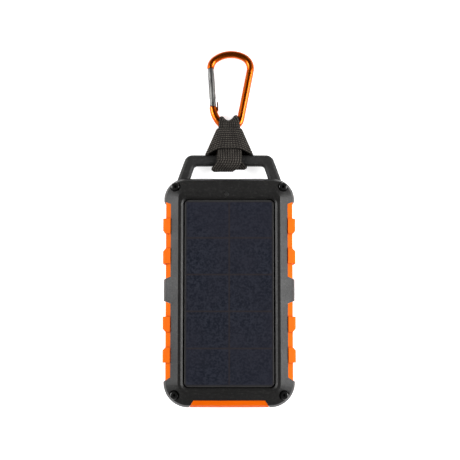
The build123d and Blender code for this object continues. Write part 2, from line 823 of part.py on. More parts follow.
# the same place seen square to the carabiner: X inwards, Y along the gate
gate_side = Plane(
    origin=in_clip(rivet_point),
    x_dir=clip_direction(gate_inward),
    z_dir=gate_frame.y_dir * -1,
)
nose_up = gate_length - gate_rivet_up  # nose face above the rivet
pin_up = nose_up - 1.3

with BuildPart() as carabiner_body:
    clip_path = clip_plane.from_local_coords(clip_line.line)
    with BuildSketch(Plane(origin=clip_path @ 0, z_dir=clip_path % 0)):
        Circle(rod_r)
    sweep(path=clip_path)
    # tongue at the heel that the gate straddles
    with BuildSketch(gate_side):
        Circle(gate_r - 0.15)
        with Locations((0, -1.7)):
            Rectangle(2 * (gate_r - 0.15), 3.4)
    extrude(amount=tongue_thick / 2, both=True)
    # stop beside the gate's foot
    with BuildSketch(gate_side):
        Polygon((1.4, -4.6), (3.3, -5.4), (3.5, 0.5), (2.6, 0.5), (2.5, -2.7), (1.4, -2.9), align=None)
    extrude(amount=1.3, both=True)
    # hook at the nose, open on its inner side for the gate's pin
    with BuildSketch(gate_side):
        with Locations((0, nose_up - 1.2)):
            Rectangle(3.7, 3.6)
        with Locations((1.2, pin_up)):
            Rectangle(4.0, 1.5, mode=Mode.SUBTRACT)
    extrude(amount=0.75, both=True)
    with BuildSketch(gate_side):
        Circle(0.86)
    extrude(amount=3, both=True, mode=Mode.SUBTRACT)

with BuildPart() as carabiner_gate:
    with BuildSketch(gate_side):
        with Locations((0, (nose_up - 0.3) / 2)):
            Rectangle(2 * gate_r, nose_up - 0.3)
        Circle(gate_r)
    extrude(amount=gate_r, both=True)
    with BuildSketch(gate_frame.offset(-gate_r - 0.5)):
        Circle(gate_r)
    extrude(amount=gate_length + 3, mode=Mode.INTERSECT)
    # slots for the tongue and the hook, and the bore for the spring
    with BuildSketch(gate_side):
        with Locations((0, 0.5)):
            Rectangle(6, 5.5)
        with Locations((0, pin_up)):
            Rectangle(6, 4.2)
    extrude(amount=tongue_thick / 2 + 0.15, both=True, mode=Mode.SUBTRACT)
    with BuildSketch(gate_frame.offset(2)):
        Circle(1.2)
    extrude(amount=11, mode=Mode.SUBTRACT)
    with BuildSketch(gate_side):
        Circle(0.8)
        with Locations((0, pin_up)):
            Circle(0.5)
    extrude(amount=3, both=True, mode=Mode.SUBTRACT)

with BuildPart() as gate_rivet:
    with BuildSketch(gate_side):
        Circle(0.8)
    extrude(amount=gate_r - 0.05, both=True)

with BuildPart() as gate_pin:
    with BuildSketch(gate_side):
        with Locations((0, pin_up)):
            Circle(0.5)
    extrude(amount=gate_r - 0.1, both=True)

with BuildPart() as gate_plunger:
    with BuildSketch(gate_frame.offset(2.05)):
        Circle(1.1)
    extrude(amount=2.4)

with BuildPart() as gate_spring:
    with BuildSketch(gate_frame.offset(4.5)):
        Circle(1.12)
        Circle(0.75, mode=Mode.SUBTRACT)
    extrude(amount=8.3)

# ---------------------------------------------------------------- lanyard webbing

with BuildPart() as lanyard_hitch:
    with BuildSketch(Plane.YZ):
        slab_end = loop_axis_y - loop_half - 0.5
        with Locations((bar_y, bar_z)):
            Circle(hitch_outer)
        Polygon(
            (bar_y, bar_z - hitch_outer),
            (slab_end, loop_axis_z - loop_half),
            (slab_end, loop_axis_z + loop_half + 0.6),
            (bar_y + 1.5, bar_z + hitch_outer - 0.16),
            (bar_y, bar_z + hitch_outer),
            align=None,
        )
    extrude(amount=20, both=True)
    with BuildSketch():
        Polygon(
            (-11.6, 75.5),
            (11.2, 75.5),
            (12.6, 80.2),
            (14.2, 88.7),
            (9.4, slab_end),
            (-9.9, slab_end),
            (-14.9, 88.7),
            (-12.9, 80.2),
            align=None,
        )
    extrude(amount=case_depth, mode=Mode.INTERSECT)
    with BuildSketch(Plane.YZ):
        with Locations((bar_y, bar_z)):
            Circle(hitch_inner)
    extrude(amount=20, both=True, mode=Mode.SUBTRACT)

clearance = rod_r + rod_gap
with BuildPart() as lanyard_loop:
    with BuildSketch(Plane.YZ):
        with Locations((loop_axis_y, loop_axis_z)):
            Circle(loop_half)
        with Locations(((loop_axis_y + loop_end_y) / 2, loop_axis_z)):
            Rectangle(loop_end_y - loop_axis_y, 2 * loop_half)
    extrude(amount=20, both=True)
    with BuildSketch():
        Polygon(
            (-9.6, 97.4),
            (9.1, 97.4),
            (7.0, 106.3),
            (7.0, 115.0),
            (-7.0, 115.0),
            (-7.0, 106.3),
            align=None,
        )
    extrude(amount=case_depth, mode=Mode.INTERSECT)
    # channel for the rod, wide enough for it to turn on its foot
    with BuildSketch(clip_plane):
        with Locations(foot_centre):
            Circle(foot_r + clearance)
            Circle(foot_r - clearance, mode=Mode.SUBTRACT)
        Polygon((-3.6, -0.4), (-7.8, -0.8), (-12.4, 5.1), (-12.4, 9.8), (-6.2, 9.8), (-4.7, 5.1), align=None)
    extrude(amount=clearance, both=True, mode=Mode.SUBTRACT)

# ---------------------------------------------------------------- label and write every piece

pieces = {
    "back_shell": back_shell,
    "front_frame": front_frame,
    "bumper_right_upper": bumper_right_upper,
    "bumper_right_lower": bumper_right_lower,
    "bumper_left_upper": bumper_left_upper,
    "bumper_left_lower": bumper_left_lower,
    "case_seal": case_seal,
    "case_screws": case_screws,
    "screw_inserts": screw_inserts,
    "solar_backsheet": solar_backsheet,
    "solar_cells": solar_cells,
    "cell_ribbons": cell_ribbons,
    "solar_film": solar_film,
    "panel_adhesive": panel_adhesive,
    "panel_support_pad": panel_support_pad,
    "battery_pad": battery_pad,
    "battery_cells": battery_cells,
    "protection_board": protection_board,
    "main_board": main_board,
    "board_screws": board_screws,
    "usb_a_shells": usb_a_shells,
    "usb_a_tongues": usb_a_tongues,
    "usb_c_shell": usb_c_shell,
    "usb_c_tongue": usb_c_tongue,
    "control_chips": control_chips,
    "power_inductors": power_inductors,
    "smoothing_capacitors": smoothing_capacitors,
    "indicator_leds": indicator_leds,
    "light_pipes": light_pipes,
    "port_cover": port_cover,
    "port_cover_pin": port_cover_pin,
    "power_button": power_button,
    "switch_body": switch_body,
    "switch_plunger": switch_plunger,
    "switch_board": switch_board,
    "lamp_lens": lamp_lens,
    "lamp_reflector": lamp_reflector,
    "lamp_leds": lamp_leds,
    "lamp_board": lamp_board,
    "charge_led": charge_led,
    "charge_light_pipe": charge_light_pipe,
    "solar_leads": solar_leads,
    "battery_leads": battery_leads,
    "lamp_leads": lamp_leads,
    "rating_plate": rating_plate,
    "lanyard_hitch": lanyard_hitch,
    "lanyard_loop": lanyard_loop,
    "carabiner_body": carabiner_body,
    "carabiner_gate": carabiner_gate,
    "gate_rivet": gate_rivet,
    "gate_pin": gate_pin,
    "gate_plunger": gate_plunger,
    "gate_spring": gate_spring,
}
for name, piece in pieces.items():
    piece.part.label = name
    export_step(piece.part, f"parts/{name}.step")

print("cover hinge", cover_axis_y, cover_axis_z)
print("gate hinge", in_clip(rivet_point), "axis", gate_side.z_dir)
print("turn centre", in_clip(foot_centre), "axis", clip_plane.z_dir)
print("gate length", gate_length, "crown", (crown @ 0.5), "heel end", heel_end)
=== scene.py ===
"""Looks of the solar phone charger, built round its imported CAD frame.

Everything is in metres in the part's own frame: the case lies on its back, +Z comes out of the
solar panel and +Y runs towards the handle and the carabiner.
"""

import json
import math

import bpy
import numpy as np
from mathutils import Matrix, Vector


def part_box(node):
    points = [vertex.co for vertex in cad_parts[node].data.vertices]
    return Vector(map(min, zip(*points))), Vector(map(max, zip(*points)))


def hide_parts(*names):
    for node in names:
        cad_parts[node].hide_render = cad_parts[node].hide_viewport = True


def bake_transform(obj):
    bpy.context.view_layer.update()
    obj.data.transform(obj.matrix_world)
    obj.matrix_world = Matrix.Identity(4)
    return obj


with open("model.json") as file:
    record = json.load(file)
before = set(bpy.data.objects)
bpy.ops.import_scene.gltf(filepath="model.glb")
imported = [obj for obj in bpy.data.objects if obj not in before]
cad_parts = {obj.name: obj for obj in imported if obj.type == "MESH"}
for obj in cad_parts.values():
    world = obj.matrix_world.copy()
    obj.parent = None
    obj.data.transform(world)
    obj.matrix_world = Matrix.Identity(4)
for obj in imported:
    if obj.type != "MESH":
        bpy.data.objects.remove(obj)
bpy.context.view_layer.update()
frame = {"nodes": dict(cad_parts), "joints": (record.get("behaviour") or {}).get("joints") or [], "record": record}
nodes = frame["nodes"]
joints = {joint["name"]: joint for joint in frame["joints"]}
MM = 0.001  # in metres

# ---------------------------------------------------------------- camera, floor and light

# The camera looks almost straight down on the panel, from slightly beyond the port end.
CAMERA_TILT = math.radians(5.0)
CAMERA_DISTANCE = 0.70
CAMERA_TARGET = Vector((0.0005, 0.0390, 0.020))
FRAME_WIDTH = 0.2899  # what the picture spans at the target

# Surroundings: a direction's height is the sine of its angle above the horizon.
WORLD_SIDE = 0.25  # strength from the horizon up to SIDE_HEIGHT, and from TOP_HEIGHT upwards
WORLD_TOP = 0.015
SIDE_HEIGHT = 0.25
TOP_HEIGHT = 0.9
UNDER_HEIGHT = -0.05  # below it the surroundings are white

SOFTBOX = 8.8  # watts of the left side light
RIGHT_SHARE = 1.3  # how much stronger the right one is
SOFTBOX_AIM = Vector((0, 0.03, 0))

FLOOR_WHITE = 0.93
FLOOR_GLOW = 0.75  # the table is lit from below, so that it shows almost no shadow
FLOOR_REACH = 6.0
FLOOR_LEVEL = -0.2 * MM  # just below the back face, so that the two don't share a plane


def make_camera():
    data = bpy.data.cameras.new("camera")
    camera = bpy.data.objects.new("camera", data)
    bpy.context.scene.collection.objects.link(camera)
    away = Vector((0, -math.sin(CAMERA_TILT), math.cos(CAMERA_TILT)))
    camera.location = CAMERA_TARGET + away * CAMERA_DISTANCE
    camera.rotation_euler = (CAMERA_TILT, 0, 0)
    data.lens = data.sensor_width * CAMERA_DISTANCE / FRAME_WIDTH
    data.clip_start = 0.01
    data.clip_end = 20
    bpy.context.scene.camera = camera


def area_light(name, place, size, size_y, power):
    """A softbox that faces the middle of the case."""
    data = bpy.data.lights.new(name, "AREA")
    data.shape = "RECTANGLE"
    data.size = size
    data.size_y = size_y
    data.energy = power
    lamp = bpy.data.objects.new(name, data)
    bpy.context.scene.collection.objects.link(lamp)
    lamp.location = place
    lamp.rotation_euler = (SOFTBOX_AIM - Vector(place)).to_track_quat("-Z", "Y").to_euler()


def make_world():
    """Surroundings that are bright at the horizon and dim overhead, and white to the camera.

    Flat tops stay dark under them, while slopes shine.
    """
    world = bpy.data.worlds.new("studio")
    bpy.context.scene.world = world
    world.use_nodes = True
    tree = world.node_tree
    background = tree.nodes["Background"]
    background.inputs["Color"].default_value = (1.0, 1.0, 1.0, 1)
    place = tree.nodes.new("ShaderNodeTexCoord")
    axes = tree.nodes.new("ShaderNodeSeparateXYZ")
    tree.links.new(place.outputs["Generated"], axes.inputs[0])
    strength = tree.nodes.new("ShaderNodeMapRange")
    strength.inputs["From Min"].default_value = SIDE_HEIGHT
    strength.inputs["From Max"].default_value = TOP_HEIGHT
    strength.inputs["To Min"].default_value = WORLD_SIDE
    strength.inputs["To Max"].default_value = WORLD_TOP
    tree.links.new(axes.outputs["Z"], strength.inputs["Value"])
    # full strength below the horizon, and where the camera sees past the table
    under = tree.nodes.new("ShaderNodeMath")
    under.operation = "LESS_THAN"
    under.inputs[1].default_value = UNDER_HEIGHT
    tree.links.new(axes.outputs["Z"], under.inputs[0])
    seen = tree.nodes.new("ShaderNodeLightPath")
    level = strength.outputs["Result"]
    for full in (under.outputs[0], seen.outputs["Is Camera Ray"]):
        larger = tree.nodes.new("ShaderNodeMath")
        larger.operation = "MAXIMUM"
        tree.links.new(level, larger.inputs[0])
        tree.links.new(full, larger.inputs[1])
        level = larger.outputs[0]
    tree.links.new(level, background.inputs["Strength"])


def make_floor():
    """A white light table."""
    signs = ((-1, -1), (1, -1), (1, 1), (-1, 1))
    corners = [(x * FLOOR_REACH, y * FLOOR_REACH, FLOOR_LEVEL) for x, y in signs]
    mesh = bpy.data.meshes.new("floor")
    mesh.from_pydata(corners, [], [(0, 1, 2, 3)])
    floor = bpy.data.objects.new("floor", mesh)
    bpy.context.scene.collection.objects.link(floor)
    material = bpy.data.materials.new("floor_white")
    material.use_nodes = True
    shader = material.node_tree.nodes["Principled BSDF"]
    shader.inputs["Base Color"].default_value = (FLOOR_WHITE, FLOOR_WHITE, FLOOR_WHITE, 1)
    shader.inputs["Roughness"].default_value = 0.9
    shader.inputs["Specular IOR Level"].default_value = 0.0
    shader.inputs["Emission Color"].default_value = (1, 1, 1, 1)
    shader.inputs["Emission Strength"].default_value = FLOOR_GLOW
    mesh.materials.append(material)


bpy.context.scene.view_settings.view_transform = "Standard"
make_camera()
make_world()
make_floor()
area_light("softbox_left", (-0.85, 0.16, 0.55), 0.5, 0.5, SOFTBOX)
area_light("softbox_right", (0.85, 0.02, 0.55), 0.5, 0.6, SOFTBOX * RIGHT_SHARE)

# ---------------------------------------------------------------- material helpers


class Shader:
    """A material with a Principled shader and short names for making its nodes."""

    def __init__(self, name, colour, roughness, metallic=0.0, specular=0.5):
        self.material = bpy.data.materials.new(name)
        self.material.use_nodes = True
        self.tree = self.material.node_tree
        self.bsdf = self.tree.nodes["Principled BSDF"]
        self.set(self.bsdf, **{"Base Color": (*colour, 1), "Roughness": roughness})
        self.set(self.bsdf, **{"Metallic": metallic, "Specular IOR Level": specular})
        self.normal = None

    def set(self, node, **values):
        for key, value in values.items():
            node.inputs[key].default_value = value

    def node(self, kind, **values):
        made = self.tree.nodes.new("ShaderNode" + kind)
        for key, value in values.items():
            setattr(made, key, value)
        return made

    def link(self, source, target):
        self.tree.links.new(source, target)

    def place(self):
        """Object coordinates, which are the part's own frame in metres."""
        return self.node("TexCoord").outputs["Object"]

    def noise(self, size, detail=2.0, vector=None):
        """Noise whose features are about size metres across."""
        made = self.node("TexNoise")
        self.set(made, Scale=1.0 / size, Detail=detail)
        self.link(vector or self.place(), made.inputs["Vector"])
        return made.outputs["Fac"]

    def voronoi(self, size, randomness, feature="F1"):
        """Distance in a pattern of cells that are about size metres across."""
        made = self.node("TexVoronoi", feature=feature)
        self.set(made, Scale=1.0 / size, Randomness=randomness)
        self.link(self.place(), made.inputs["Vector"])
        return made.outputs["Distance"]

    def place_scaled(self, scale):
        """The place with each axis multiplied, which stretches a pattern where it is under 1."""
        made = self.node("Mapping")
        made.inputs["Scale"].default_value = scale
        self.link(self.place(), made.inputs["Vector"])
        return made.outputs["Vector"]

    def split(self, vector):
        """The X and Y of a vector."""
        made = self.node("SeparateXYZ")
        self.link(vector, made.inputs[0])
        return made.outputs["X"], made.outputs["Y"]

    def math(self, kind, *values):
        made = self.node("Math", operation=kind)
        for socket, value in zip(made.inputs, values):
            if isinstance(value, (int, float)):
                socket.default_value = value
            else:
                self.link(value, socket)
        return made.outputs[0]

    def wave(self, value, pitch):
        """A sine wave with one period in each pitch."""
        return self.math("SINE", self.math("MULTIPLY", value, 2 * math.pi / pitch))

    def remap(self, value, low, high, to_low=0.0, to_high=1.0):
        """The value moved from the range low to high into the new range, and kept inside it."""
        made = self.node("MapRange")
        self.set(made, **{"From Min": low, "From Max": high, "To Min": to_low, "To Max": to_high})
        self.link(value, made.inputs["Value"])
        return made.outputs["Result"]

    def mix(self, share, first, second):
        """Colour first where share is 0, second where it is 1."""
        made = self.node("Mix", data_type="RGBA")
        for socket, value in ((made.inputs[6], first), (made.inputs[7], second)):
            if isinstance(value, tuple):
                socket.default_value = (*value, 1)
            else:
                self.link(value, socket)
        self.link(share, made.inputs[0])
        return made.outputs[2]

    def mottle(self, size, detail, low, high, to_low=0.0, to_high=1.0):
        """Noise with its contrast raised: low and below gives to_low, high and above to_high."""
        return self.remap(self.noise(size, detail), low, high, to_low, to_high)

    def colour(self, value):
        self.link(value, self.bsdf.inputs["Base Color"])

    def roughness(self, value):
        self.link(value, self.bsdf.inputs["Roughness"])

    def bump(self, height, depth, strength=1.0):
        """Adds a relief of the given depth in metres on top of the last one."""
        made = self.node("Bump")
        self.set(made, Strength=strength, Distance=depth)
        self.link(height, made.inputs["Height"])
        if self.normal is not None:
            self.link(self.normal, made.inputs["Normal"])
        self.normal = made.outputs["Normal"]
        self.link(self.normal, self.bsdf.inputs["Normal"])


def scaled(colour, factor):
    """The colour made brighter or darker."""
    return tuple(min(1.0, part * factor) for part in colour)


PATCH = 12 * MM  # across the slow changes of tone and gloss in a moulding
DARK_GRAIN = 1.1 * MM  # the grains of a speckled moulding
PALE_GRAIN = 1.3 * MM
GRAIN_BUMP = 1.4 * MM
GRAIN_RELIEF = 0.22 * MM
PAINTED_SHADE_REACH = 2.2 * MM  # from an inner corner to where its painted shade ends


def moulded(
    name,
    colour,
    roughness,
    grain=0.3 * MM,
    depth=0.02 * MM,
    vary=0.12,
    speckle=0.0,
    painted_crease_shade=None,
    specular=0.5,
):
    """Moulded plastic or rubber: fine spark texture, and slow changes of tone and gloss.

    Vary is the share by which the tone changes slowly. Speckle is the share by which small
    grains are paler or darker. The crease argument, if given, is the colour of painted shade in
    the inner corners, where ambient occlusion finds them.
    """
    shader = Shader(name, colour, roughness, specular=specular)
    slow = shader.noise(PATCH, 3.0)
    fine = shader.noise(grain, 3.0)
    tone = shader.mix(shader.remap(slow, 0.3, 0.7), scaled(colour, 1 - vary), scaled(colour, 1 + vary))
    if speckle:
        tone = shader.mix(shader.mottle(DARK_GRAIN, 2.0, 0.35, 0.65), scaled(colour, 1 - speckle), tone)
        pale = shader.mottle(PALE_GRAIN, 1.0, 0.58, 0.72)
        tone = shader.mix(pale, tone, scaled(colour, 1 + 2 * speckle))
        shader.bump(shader.noise(GRAIN_BUMP, 2.0), GRAIN_RELIEF, speckle)
    if painted_crease_shade:
        # painted shade: inner corners darkened towards the crease colour where ambient occlusion finds them
        corner = shader.node("AmbientOcclusion", samples=8)
        shader.set(corner, Distance=PAINTED_SHADE_REACH)
        tone = shader.mix(shader.remap(corner.outputs["AO"], 0.45, 0.92), painted_crease_shade, tone)
    shader.colour(tone)
    gloss = shader.math("ADD", shader.remap(slow, 0.3, 0.7, -0.03, 0.03), roughness)
    gloss = shader.math("ADD", gloss, shader.remap(fine, 0.3, 0.7, -0.06, 0.06))
    shader.roughness(gloss)
    shader.bump(fine, depth)
    return shader.material


def metal(name, colour, roughness):
    """Bare metal with a fine uneven tone and gloss."""
    shader = Shader(name, colour, roughness, metallic=1.0)
    fine = shader.noise(0.4 * MM, 4.0)
    shader.colour(shader.mix(fine, scaled(colour, 0.82), colour))
    shader.roughness(shader.remap(fine, 0.3, 0.7, roughness * 0.8, roughness * 1.25))
    shader.bump(fine, 0.004 * MM)
    return shader.material


# ---------------------------------------------------------------- materials of the CAD nodes

CELL_ROWS = 5
CELL_MARGIN = 1.1 * MM  # from the film's edge to the first cell
CELL_GAP = 0.8 * MM
FINGER_PITCH = 1.7 * MM  # of the fine printed lines across a cell


def film_distances(shader, across, along):
    """Distance from the nearest seam between cells, and from the film's edge."""
    low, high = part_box("solar_film")
    row = (high.y - low.y - 2 * CELL_MARGIN + CELL_GAP) / CELL_ROWS
    first_seam = low.y + CELL_MARGIN - CELL_GAP / 2
    rows = shader.math("DIVIDE", shader.math("SUBTRACT", along, first_seam), row)
    from_centre = shader.math("ABSOLUTE", shader.math("SUBTRACT", shader.math("FRACT", rows), 0.5))
    row_gap = shader.math("MULTIPLY", shader.math("SUBTRACT", 0.5, from_centre), row)
    column_gap = shader.math("ABSOLUTE", across)
    side_gap = shader.math("SUBTRACT", high.x, column_gap)
    middle = (low.y + high.y) / 2
    from_middle = shader.math("ABSOLUTE", shader.math("SUBTRACT", along, middle))
    end_gap = shader.math("SUBTRACT", (high.y - low.y) / 2, from_middle)
    return shader.math("MINIMUM", row_gap, column_gap), shader.math("MINIMUM", side_gap, end_gap)


def panel_material():
    """Frosted film over two columns of five dark cells, with seams and a thin pale border."""
    shader = Shader("panel_film_look", (0.02, 0.023, 0.032), 0.42, specular=0.35)
    across, along = shader.split(shader.place())
    from_seam, from_edge = film_distances(shader, across, along)
    seam = shader.remap(from_seam, 0.25 * MM, 0.7 * MM, 1.0, 0.0)
    border = shader.remap(from_edge, 0.9 * MM, 1.3 * MM, 1.0, 0.0)
    rim = shader.remap(from_edge, 0.25 * MM, 0.6 * MM, 1.0, 0.0)
    # mottled silicon, with a slow purple haze and faint printed fingers
    speck = shader.noise(1.0 * MM, 1.0)
    tone = shader.math(
        "ADD",
        shader.math("MULTIPLY", shader.noise(2.0 * MM, 2.0), 0.5),
        shader.math("MULTIPLY", speck, 0.5),
    )
    dark, pale = (0.0052, 0.0074, 0.0145), (0.0180, 0.0208, 0.033)
    colour = shader.mix(shader.remap(tone, 0.40, 0.60), dark, pale)
    haze = shader.mottle(30 * MM, 2.0, 0.35, 0.65, 0.0, 0.5)
    colour = shader.mix(haze, colour, (0.016, 0.016, 0.026))
    finger = shader.remap(shader.wave(along, FINGER_PITCH), 0.86, 1.0, 0.0, 0.22)
    colour = shader.mix(finger, colour, (0.024, 0.026, 0.033))
    colour = shader.mix(seam, colour, (0.0215, 0.0175, 0.0205))
    colour = shader.mix(border, colour, (0.022, 0.021, 0.024))
    shader.colour(shader.mix(rim, colour, (0.05, 0.05, 0.05)))
    dimples = shader.voronoi(0.6 * MM, randomness=0.25)
    shader.bump(dimples, 0.03 * MM, 0.5)
    shader.roughness(shader.remap(speck, 0.3, 0.7, 0.36, 0.5))
    return shader.material


def board_material():
    """Green circuit board with faint tracks under its mask."""
    shader = Shader("board_look", (0.015, 0.11, 0.05), 0.35)
    tracks = shader.voronoi(3 * MM, randomness=0.4, feature="DISTANCE_TO_EDGE")
    line = shader.remap(tracks, 0.0, 0.12, 1.0, 0.0)
    shader.colour(shader.mix(line, (0.012, 0.09, 0.04), (0.03, 0.2, 0.09)))
    shader.bump(line, 0.03 * MM)
    return shader.material


def lens_material(name, colour, roughness, specular, rib_depth):
    """Frosted or smoked clear plastic, drawn as a solid with fine ribs."""
    shader = Shader(name, colour, roughness, specular=specular)
    across, _ = shader.split(shader.place())
    shader.colour(shader.mix(shader.mottle(4 * MM, 3.0, 0.3, 0.7), scaled(colour, 0.85), colour))
    shader.bump(shader.wave(across, 1.2 * MM), rib_depth)
    return shader.material


def anodised_material():
    """Deep orange anodised aluminium under its clear oxide, with small scuffs."""
    orange = (0.62, 0.10, 0.002)
    scuffed = (0.74, 0.16, 0.012)
    shader = Shader("anodised_look", orange, 0.29, metallic=1.0)
    shader.set(shader.bsdf, **{"Coat Weight": 0.25, "Coat Roughness": 0.08, "Coat IOR": 1.5})
    fine = shader.noise(0.5 * MM, 3.0)
    shader.colour(shader.mix(shader.mottle(2.5 * MM, 4.0, 0.62, 0.75, 0.0, 0.7), orange, scuffed))
    shader.roughness(shader.remap(fine, 0.3, 0.7, 0.25, 0.35))
    shader.bump(fine, 0.003 * MM)
    return shader.material


def gate_material():
    """Plain aluminium of the gate, brushed along its length and dulled by handling."""
    shader = Shader("gate_look", (0.2, 0.2, 0.19), 0.48, metallic=1.0)
    lines = shader.noise(0.9 * MM, 4.0, shader.place_scaled((1.0, 0.12, 1.0)))
    dull, bright = (0.085, 0.085, 0.083), (0.26, 0.26, 0.25)
    shader.colour(shader.mix(shader.remap(lines, 0.36, 0.64), dull, bright))
    shader.roughness(shader.remap(lines, 0.3, 0.7, 0.40, 0.55))
    shader.bump(lines, 0.02 * MM)
    return shader.material


WEBBING_TONE = (0.036, 0.032, 0.028)
# the orange rubbers get a deep red-brown painted shade in their inner corners
orange_rubber = {"vary": 0.04, "specular": 0.05, "painted_crease_shade": (0.45, 0.022, 0.0002)}
looks = {
    "case_black": moulded(
        "case_black_look", (0.019, 0.0185, 0.018), 0.55, depth=0.04 * MM, speckle=0.35, specular=0.4
    ),
    "frame_black": moulded(
        "frame_black_look",
        (0.0112, 0.0108, 0.0104),
        0.46,
        depth=0.05 * MM,
        speckle=0.45,
        specular=0.36,
    ),
    "bumper_orange": moulded("bumper_orange_look", (0.99, 0.16, 0.0005), 0.5, **orange_rubber),
    "cover_orange": moulded("cover_orange_look", (0.99, 0.145, 0.0005), 0.5, **orange_rubber),
    "seal_rubber": moulded("seal_look", (0.03, 0.03, 0.03), 0.6),
    "screw_black": moulded("screw_look", (0.012, 0.012, 0.012), 0.18, grain=0.8 * MM, depth=0.004 * MM),
    "insert_brass": metal("insert_look", (0.78, 0.55, 0.22), 0.3),
    "backsheet_black": moulded("backsheet_look", (0.02, 0.02, 0.024), 0.4),
    "cell_silicon": moulded("cell_look", (0.02, 0.024, 0.04), 0.25),
    "ribbon_tin": metal("ribbon_look", (0.7, 0.7, 0.7), 0.3),
    "panel_film": panel_material(),
    "adhesive_foam": moulded("adhesive_look", (0.03, 0.03, 0.03), 0.9),
    "pad_foam": moulded("pad_look", (0.06, 0.06, 0.065), 0.95, grain=0.8 * MM, depth=0.1 * MM),
    "battery_pouch": metal("pouch_look", (0.72, 0.73, 0.74), 0.35),
    "board_green": board_material(),
    "steel_plain": metal("steel_look", (0.62, 0.62, 0.62), 0.28),
    "tongue_plastic": moulded("tongue_look", (0.02, 0.02, 0.02), 0.45),
    "chip_black": moulded("chip_look", (0.02, 0.02, 0.022), 0.5),
    "capacitor_can": metal("can_look", (0.72, 0.72, 0.72), 0.25),
    "led_white": moulded("led_look", (0.85, 0.72, 0.35), 0.3),
    "clear_plastic": lens_material("light_pipe_look", (0.018, 0.018, 0.017), 0.5, 0.4, 0.01 * MM),
    "button_black": moulded("button_look", (0.024, 0.024, 0.024), 0.5),
    "lens_frosted": lens_material("lamp_lens_look", (0.72, 0.73, 0.75), 0.22, 0.6, 0.06 * MM),
    "reflector_silver": metal("reflector_look", (0.88, 0.88, 0.88), 0.08),
    "wire_red": moulded("wire_red_look", (0.45, 0.02, 0.015), 0.45),
    "wire_black": moulded("wire_black_look", (0.02, 0.02, 0.02), 0.45),
    "plate_grey": moulded("plate_look", (0.06, 0.06, 0.062), 0.35, grain=0.6 * MM),
    "webbing_black": moulded("webbing_plain_look", WEBBING_TONE, 0.85),
    "anodised_orange": anodised_material(),
    "gate_silver": gate_material(),
}

slots = {part["node"]: part["material_slot"] for part in frame["record"]["subparts"]}
for node_name, node_object in nodes.items():
    node_object.data.materials.clear()
    node_object.data.materials.append(looks[slots[node_name]])

# ---------------------------------------------------------------- webbing lanyard

# One sewn strip of 15 mm webbing: a girth hitch round the handle bar, and a loop round the foot
# of the carabiner. It is drawn as a ruled surface between its two edges, A and B.
STRIP_THICK = 1.3 * MM
STRIP_WIDTH = 15.0 * MM
OUTER_TURN = 6.35 * MM  # from the bar's axis to the middle of the outer layer
INNER_TURN = 5.0 * MM  # the same, for the layer between it and the bar
RIB = 1.5 * MM  # spacing of the ribs that run along the strip
PICK = 1.5 * MM  # spacing of the bumps along each rib
RELIEF = 0.16 * MM
SELVEDGE_START = 0.86  # where the rounding of the selvedge starts, as a share of half the width
SELVEDGE_LOSS = 0.45  # how much thinner the strip is at its very edge, as a share
SELVEDGE_WAVES = ((0.10 * MM, 0.33 * MM), (0.08 * MM, 1.7 * MM))  # heights and lengths
FOLD_START = -3.0 * MM  # where the dip in the fold starts, along Y from the carabiner's axis
FOLD_NEAR = -0.9 * MM  # where it is complete
FOLD_DIP = 3.2 * MM
ROW_STEP = 0.36 * MM  # between the mesh's rows along the strip
FEWEST_STEPS = 3  # from one of the listed rows to the next
COLUMNS = 57  # of the mesh's points across the strip
bar_y, bar_z = joints["lanyard_swing"]["pos_m"][1:]
foot_y = joints["carabiner_turn"]["pos_m"][1]


def at(x, y, z):
    """A point from millimetres: x from the middle, y from the bar's axis, z above the surface."""
    return Vector((x * MM, bar_y + y * MM, z * MM))


def turned(x, radius, angle):
    """A point on a layer round the bar, where 90 degrees is in front and 180 faces the case."""
    turn = math.radians(angle)
    return Vector((x * MM, bar_y + radius * math.cos(turn), bar_z + radius * math.sin(turn)))


def mirrored(point):
    return Vector((-point.x, point.y, point.z))


def half_hitch(radius):
    """Edges of one half of the hitch, from the front of the bar round to the middle of the bight."""
    lift = (OUTER_TURN - radius) / MM  # under the bar the inner layer lies on the outer one
    # x in millimetres and angle in degrees, for edge A and then for edge B
    front = [(-7.3, 62, 8.1, 62), (-7.4, 92, 8.1, 95), (-9.6, 122, 7.2, 122), (-11.4, 150, 4.9, 148)]
    below = [(-10.6, 180, 3.2, 172), (-9.4, 218, 3.0, 200)]
    rows = [(turned(xa, radius, a), turned(xb, radius, b)) for xa, a, xb, b in front + below]
    # away from the bar under the other strands, then forward and back over them
    rows += [
        (at(-8.5, 3.3, 1.6 + lift), turned(4.4, radius, 235)),
        (at(-4.2, 8.5, 1.5 + lift), turned(7.2, radius, 262)),
        (at(1.5, 13.3, 1.2 + lift), turned(10.3, radius, 285)),
        (at(4.8, 16.8, 1.0 + lift / 2), at(12.8, 3.3, 3.2)),
        (at(7.4, 18.9, 2.2), at(14.2, 3.9, 6.0)),
        (at(8.0, 20.1, 5.2), at(15.1, 3.0, 11.4)),
        (at(6.9, 21.3, 9.0), at(13.2, 3.9, 13.0)),
        (at(3.5, 21.5, 9.8), at(7.0, 6.9, 13.9)),
        (at(0, 21.5, 10.0), at(0, 7.2, 14.0)),
    ]
    return rows


